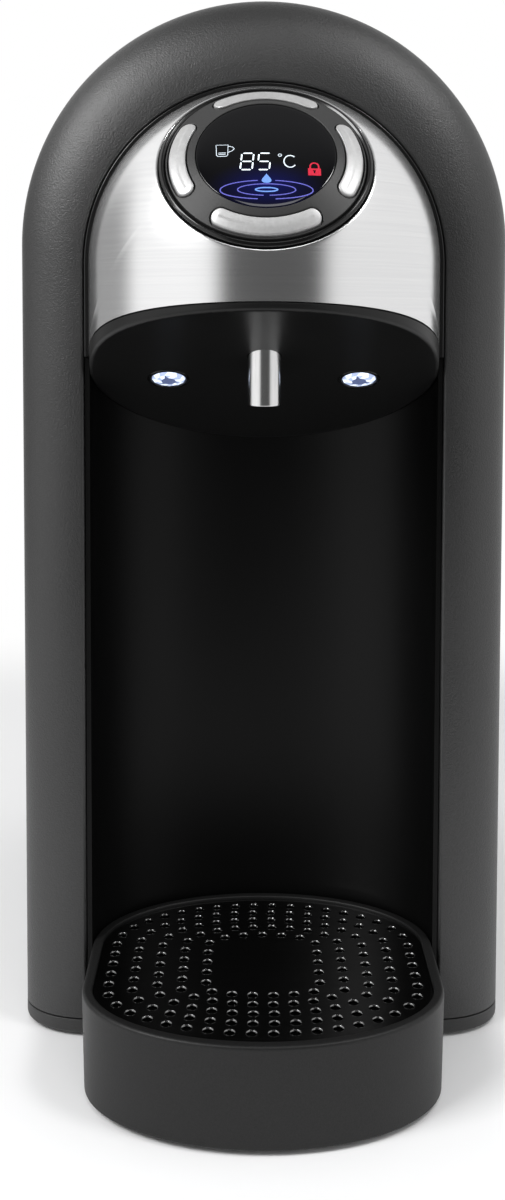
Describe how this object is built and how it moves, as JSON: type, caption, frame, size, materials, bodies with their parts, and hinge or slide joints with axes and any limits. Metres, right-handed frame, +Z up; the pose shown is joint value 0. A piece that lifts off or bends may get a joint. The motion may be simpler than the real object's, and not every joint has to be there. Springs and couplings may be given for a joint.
{
  "type": "instant hot water dispenser",
  "caption": "Free-standing hot water dispenser: arched housing, steel head with a tilted button panel, downward spout, perforated drip tray and lift-off rear water tank.",
  "frame": {"origin": "middle of the bounding box, on the table that the feet stand on", "axes": "-Y faces the user, +Z is up, +X is to the right seen from the front"},
  "size_m": [0.17, 0.2856, 0.3624],
  "materials": {
    "charcoal_plastic": "fine-textured satin",
    "gloss_black_plastic": "gloss",
    "brushed_steel": "brushed",
    "satin_grey_plastic": "satin",
    "silver_plated_plastic": "satin plated plastic",
    "dark_lens": "gloss",
    "clear_lens": "clear gloss",
    "dark_polished_steel": "dark polished",
    "smoked_tank_plastic": "smoked clear gloss",
    "black_rubber": "matt",
    "zinc_screw": "zinc plated",
    "white_plastic": "matt",
    "cast_aluminium": "as cast",
    "green_board": "satin",
    "silicone_hose": "translucent satin"
  },
  "bodies": {
    "housing": {"base_plate": "charcoal_plastic", "base_screw_1": "zinc_screw", "base_screw_2": "zinc_screw", "base_screw_3": "zinc_screw", "base_screw_4": "zinc_screw", "bay_liner": "gloss_black_plastic", "bezel_ring": "gloss_black_plastic", "control_ring": "satin_grey_plastic", "display_board": "green_board", "display_lens": "dark_lens", "dock_seal": "black_rubber", "flow_heater": "cast_aluminium", "flow_meter": "white_plastic", "foot_front_left": "black_rubber", "foot_front_right": "black_rubber", "foot_rear_left": "black_rubber", "foot_rear_right": "black_rubber", "front_shell": "charcoal_plastic", "head_trim": "gloss_black_plastic", "head_underside": "gloss_black_plastic", "heater_bracket": "brushed_steel", "hose_dock_to_pump": "silicone_hose", "hose_heater_to_outlet": "silicone_hose", "hose_meter_to_heater": "silicone_hose", "hose_pump_to_meter": "silicone_hose", "inlet_gland": "black_rubber", "lamp_board": "green_board", "lamp_lens_left": "clear_lens", "lamp_lens_right": "clear_lens", "main_board": "green_board", "outlet_chamber": "white_plastic", "pump_saddle": "black_rubber", "rear_panel": "charcoal_plastic", "rear_screw_1": "zinc_screw", "rear_screw_2": "zinc_screw", "spout": "brushed_steel", "steel_fascia": "brushed_steel", "tank_dock": "charcoal_plastic", "temperature_sensor": "brushed_steel", "thermal_cutout_1": "white_plastic", "thermal_cutout_2": "white_plastic", "water_pump": "white_plastic"},
    "tray": {"drip_tray": "charcoal_plastic"},
    "cover": {"tray_cover": "dark_polished_steel"},
    "tank": {"water_tank": "smoked_tank_plastic", "valve_spring": "brushed_steel"},
    "lid": {"tank_lid": "smoked_tank_plastic"},
    "valve": {"valve_plunger": "white_plastic", "valve_seal": "black_rubber"},
    "dispense_key": {"dispense_button": "silver_plated_plastic"},
    "lock_key": {"lock_button": "silver_plated_plastic"},
    "temperature_key": {"temperature_button": "silver_plated_plastic"},
    "volume_key": {"volume_button": "silver_plated_plastic"}
  },
  "joints": [
    {"name": "tray_slide", "type": "slide", "parent": "housing", "child": "tray", "axis": [0, -1, 0], "range_m": [0, 0.1]},
    {"name": "cover_lift", "type": "slide", "parent": "tray", "child": "cover", "axis": [0, 0, 1], "range_m": [0, 0.03]},
    {"name": "tank_lift", "type": "slide", "parent": "housing", "child": "tank", "axis": [0, 0, 1], "range_m": [0, 0.04]},
    {"name": "lid_lift", "type": "slide", "parent": "tank", "child": "lid", "axis": [0, 0, 1], "range_m": [0, 0.05]},
    {"name": "valve_stroke", "type": "slide", "parent": "tank", "child": "valve", "axis": [0, 0, 1], "range_m": [-0.003, 0], "deforming": ["valve_spring"]},
    {"name": "dispense_press", "type": "slide", "parent": "housing", "child": "dispense_key", "axis": [0, 0.7992, -0.6011], "range_m": [0, 0.0008], "stiffness_N_per_m": 800, "springref_m": -0.0004},
    {"name": "lock_press", "type": "slide", "parent": "housing", "child": "lock_key", "axis": [0, 0.7992, -0.6011], "range_m": [0, 0.0008], "stiffness_N_per_m": 800, "springref_m": -0.0004},
    {"name": "temperature_press", "type": "slide", "parent": "housing", "child": "temperature_key", "axis": [0, 0.7992, -0.6011], "range_m": [0, 0.0008], "stiffness_N_per_m": 800, "springref_m": -0.0004},
    {"name": "volume_press", "type": "slide", "parent": "housing", "child": "volume_key", "axis": [0, 0.7992, -0.6011], "range_m": [0, 0.0008], "stiffness_N_per_m": 800, "springref_m": -0.0004}
  ],
  "couplings": [
    {"joint": "valve_stroke", "follows": "tank_lift", "ratio": -0.075}
  ]
}
